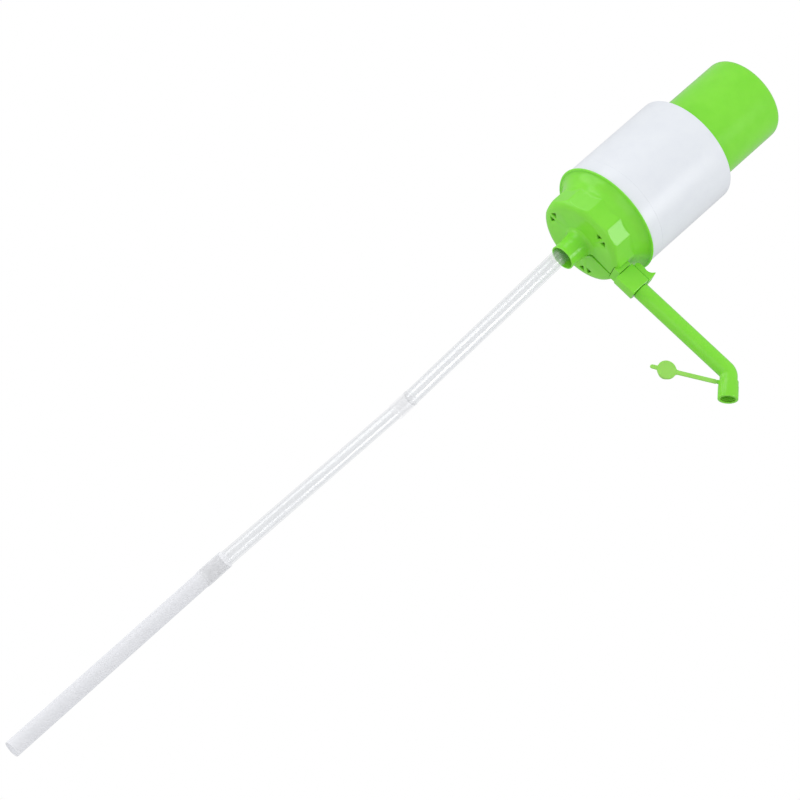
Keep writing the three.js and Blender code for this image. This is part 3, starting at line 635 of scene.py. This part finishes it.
BEND = TO_NOZZLE @ Vector((-8.45, 0, 10.8))
TO_STRAP = Matrix.Translation(BEND) @ Matrix.Rotation(math.pi - 34.5 * RAD, 4, "Y")
REACH = 30.85
joint = math.sqrt(6.1 ** 2 - 1.4 ** 2)
outline = [(1.4 * math.cos(t * RAD), 1.4 * math.sin(t * RAD)) for t in range(90, 271, 12)]
outline += [(REACH - joint - 1.6, -1.4), (REACH - joint - 0.4, -1.6), (REACH - joint + 0.5, -2.6)]
outline += [(REACH - 4.0, -2.6), (REACH - 4.0, 2.6)]
outline += [(REACH - joint + 0.5, 2.6), (REACH - joint - 0.4, 1.6), (REACH - joint - 1.6, 1.4)]
strap = prism(outline, -0.6, 0.6, bevel=0.28, angle=50)
end = REACH + 6.1 + 4.4
pull = prism(rounded([(REACH + 4, -1.35), (end - 1.2, -1.3, 1), (end, -0.7, 0.7), (end, 0.7, 0.7), (end - 1.2, 1.3, 1), (REACH + 4, 1.35)]),
             -0.6, 0.6, bevel=0.28, angle=50)
disc = turned(rounded([(0, -0.8), (6.1, -0.8, 0.3), (6.1, 0.8, 0.3), (4.4, 0.8, 0.15), (4.4, 4.8, 0.5), (3.3, 4.8, 0.25), (3.3, 1.2, 0.2), (0, 1.2)],
                      closed=False, steps=4), 96, closed=False)
disc.transform(Matrix.Translation((REACH, 0, 0)) @ Matrix.Rotation(-math.pi / 2, 4, "X"))
cap = carve(disc, strap, pull, how="UNION")
piece("tethered_cap_skin", cap, GREEN_SOFT, "tethered_cap", ["spout_cap"], sharp=34, matrix=TO_STRAP)


# ------------------------------------------------------------------- dip pipe
def pipe(name, a, b, z0, z1, profile, mat, bore_mat, cad):
    slope = (b[0] - a[0]) / (b[1] - a[1])
    length = (z1 - z0) * math.hypot(1, slope)
    place = Matrix.Translation((a[0] + (z0 - a[1]) * slope, 0, z0)) @ Matrix.Rotation(math.atan(slope), 4, "Y")
    obj = piece(name, turned(rounded(profile(length), steps=3), 64), mat, "pump_body", [cad], sharp=40, matrix=place)
    if bore_mat is mat:
        return obj
    obj.data.materials.append(bore_mat)
    inward = place.inverted()
    for face in obj.data.polygons:      # the bore's wall has the bore's material
        at, way = inward @ (face.center / MM), inward.to_3x3() @ face.normal
        if at.x * way.x + at.y * way.y < -0.5 * math.hypot(at.x, at.y):
            face.material_index = 1
    return obj


JOINT_A, JOINT_B = (3.4, -163.0), (2.35, -320.0)
pipe("pipe_upper_skin", JOINT_A, (-2.75, 14.9), -169.4, 14.9, lambda l: [
    (4.95, 0, 0.15), (5.42, 0, 0.2), (5.42, 13.4, 1), (4.95, 14.4, 1), (5.34, l - 23), (5.15, l - 22), (5.15, l, 0.1), (4.5, l, 0.1),
    (4.5, l - 14), (4.3, l - 15), (4.3, 14.1, 0.6), (4.95, 13.4, 0.6)], CLEAR, CLEAR, "pipe_upper")
pipe("pipe_middle_skin", JOINT_B, JOINT_A, -328.0, -156.5, lambda l: [
    (3.8, 0, 0.1), (4.6, 0, 0.1), (4.65, 0.4), (4.65, 17.3, 0.5), (4.8, 18.4, 0.5), (4.6, l - 14.6, 0.2), (4.4, l - 13.8, 0.2),
    (4.4, l - 0.3), (4.3, l, 0.1), (3.8, l, 0.1)], CLEAR, CLEAR, "pipe_middle")
pipe("pipe_lower_skin", (3.3, -478.5), JOINT_B, -478.5, -311.0, lambda l: [
    (4.3, 0, 0.12), (5.1, 0, 0.15), (5.1, l - 19.2, 1), (5.5, l - 18.2, 1), (5.5, l, 0.2), (5.0, l, 0.15), (5.0, l - 17.7, 0.4),
    (4.3, l - 18.4, 0.4)], FROST, FROST_IN, "pipe_lower")

# ------------------------------------------------- carried-over inner CAD parts
for name, mat in {
    "bellows_clamp_ring": INNER, "bellows_top_disc": INNER, "intake_valve_seat": INNER, "outlet_valve_seat": INNER,
    "intake_flap": RUBBER, "outlet_flap": RUBBER, "release_pad": RUBBER, "spout_o_ring": RUBBER, "lever_pin": STEEL,
}.items():
    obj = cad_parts[name]
    if obj.material_slots:
        for s in obj.material_slots:
            s.material = mat
    else:
        obj.data.materials.append(mat)

# ---------------------------------------------------------------------- studio
scene = bpy.context.scene
scene.view_settings.view_transform = "Standard"
scene.view_settings.look = "None"
scene.view_settings.exposure = 0.0
scene.view_settings.gamma = 1.0

world = bpy.data.worlds.new("studio")
scene.world = world
world.use_nodes = True
wn = world.node_tree
back = wn.nodes["Background"]
back.inputs["Color"].default_value = (1.0, 1.0, 1.0, 1.0)
back.inputs["Strength"].default_value = 0.7
seen = node(wn, "ShaderNodeBackground")
seen.inputs["Color"].default_value = (1.0, 1.0, 1.0, 1.0)
seen.inputs["Strength"].default_value = 1.0
path = node(wn, "ShaderNodeLightPath")
either = node(wn, "ShaderNodeMath", operation="MAXIMUM")
wn.links.new(path.outputs["Is Camera Ray"], either.inputs[0])
wn.links.new(path.outputs["Is Transmission Ray"], either.inputs[1])
dim = node(wn, "ShaderNodeBackground")
dim.inputs["Color"].default_value = (1.0, 1.0, 1.0, 1.0)
dim.inputs["Strength"].default_value = 0.5
sheen = node(wn, "ShaderNodeMixShader")
wn.links.new(path.outputs["Is Glossy Ray"], sheen.inputs["Fac"])
wn.links.new(back.outputs[0], sheen.inputs[1])
wn.links.new(dim.outputs[0], sheen.inputs[2])
pick = node(wn, "ShaderNodeMixShader")
wn.links.new(either.outputs[0], pick.inputs["Fac"])
wn.links.new(sheen.outputs[0], pick.inputs[1])
wn.links.new(seen.outputs[0], pick.inputs[2])
wn.links.new(pick.outputs[0], wn.nodes["World Output"].inputs["Surface"])

# camera: from below the pump, rolled as the photograph is
LOOK = Vector((-0.25, 0.0, -161.85))
DIST, AZ, EL, ROLL = 1775.0, 10.2 * RAD, -24.0 * RAD, 41.30 * RAD
pos = LOOK + DIST * Vector((math.sin(AZ) * math.cos(EL), -math.cos(AZ) * math.cos(EL), math.sin(EL)))
w = (LOOK - pos).normalized()
e1 = (Vector((0, 0, 1)) - w * w.z).normalized()
r0 = w.cross(e1)
right = e1 * math.cos(ROLL) + r0 * math.sin(ROLL)
up = e1 * math.sin(ROLL) - r0 * math.cos(ROLL)
cam = bpy.data.cameras.new("camera")
cam.sensor_width = 36.0
cam.lens = 2975 / 800 * 36
cam.clip_start, cam.clip_end = 0.05, 60.0
camera = bpy.data.objects.new("camera", cam)
scene.collection.objects.link(camera)
camera.matrix_world = Matrix(((right.x, up.x, -w.x, pos.x * MM), (right.y, up.y, -w.y, pos.y * MM),
                              (right.z, up.z, -w.z, pos.z * MM), (0, 0, 0, 1)))
scene.camera = camera


def softbox(name, at, aim, size, power):
    light = bpy.data.lights.new(name, "AREA")
    light.shape = "RECTANGLE"
    light.size, light.size_y = size
    light.energy = power
    o = bpy.data.objects.new(name, light)
    scene.collection.objects.link(o)
    o.location = Vector(at)
    o.rotation_mode = "QUATERNION"
    o.rotation_quaternion = (Vector(aim) - Vector(at)).to_track_quat("-Z", "Y")
    return o


AIM = (0.02, 0.0, 0.03)
softbox("key_right", (1.11, -0.81, 0.64), AIM, (0.62, 0.62), 6.2)
softbox("fill_left", (-1.2, -0.9, 0.2), AIM, (0.9, 1.2), 6.5)
softbox("under", (0.25, -0.9, -1.1), AIM, (1.0, 1.0), 1.9)
softbox("rim_low", (-1.25, -0.1, -0.75), AIM, (1.1, 1.1), 5)

floor_mesh = bpy.data.meshes.new("floor")
fb = bmesh.new()
bmesh.ops.create_grid(fb, x_segments=1, y_segments=1, size=6.0)
fb.to_mesh(floor_mesh)
fb.free()
floor = bpy.data.objects.new("floor", floor_mesh)
floor.location = (0, 0, -1.6)
scene.collection.objects.link(floor)
pale, fnt, fb_ = principled("floor_pale")
fb_.inputs["Base Color"].default_value = (0.86, 0.86, 0.85, 1)
fb_.inputs["Roughness"].default_value = 0.75
floor_mesh.materials.append(pale)
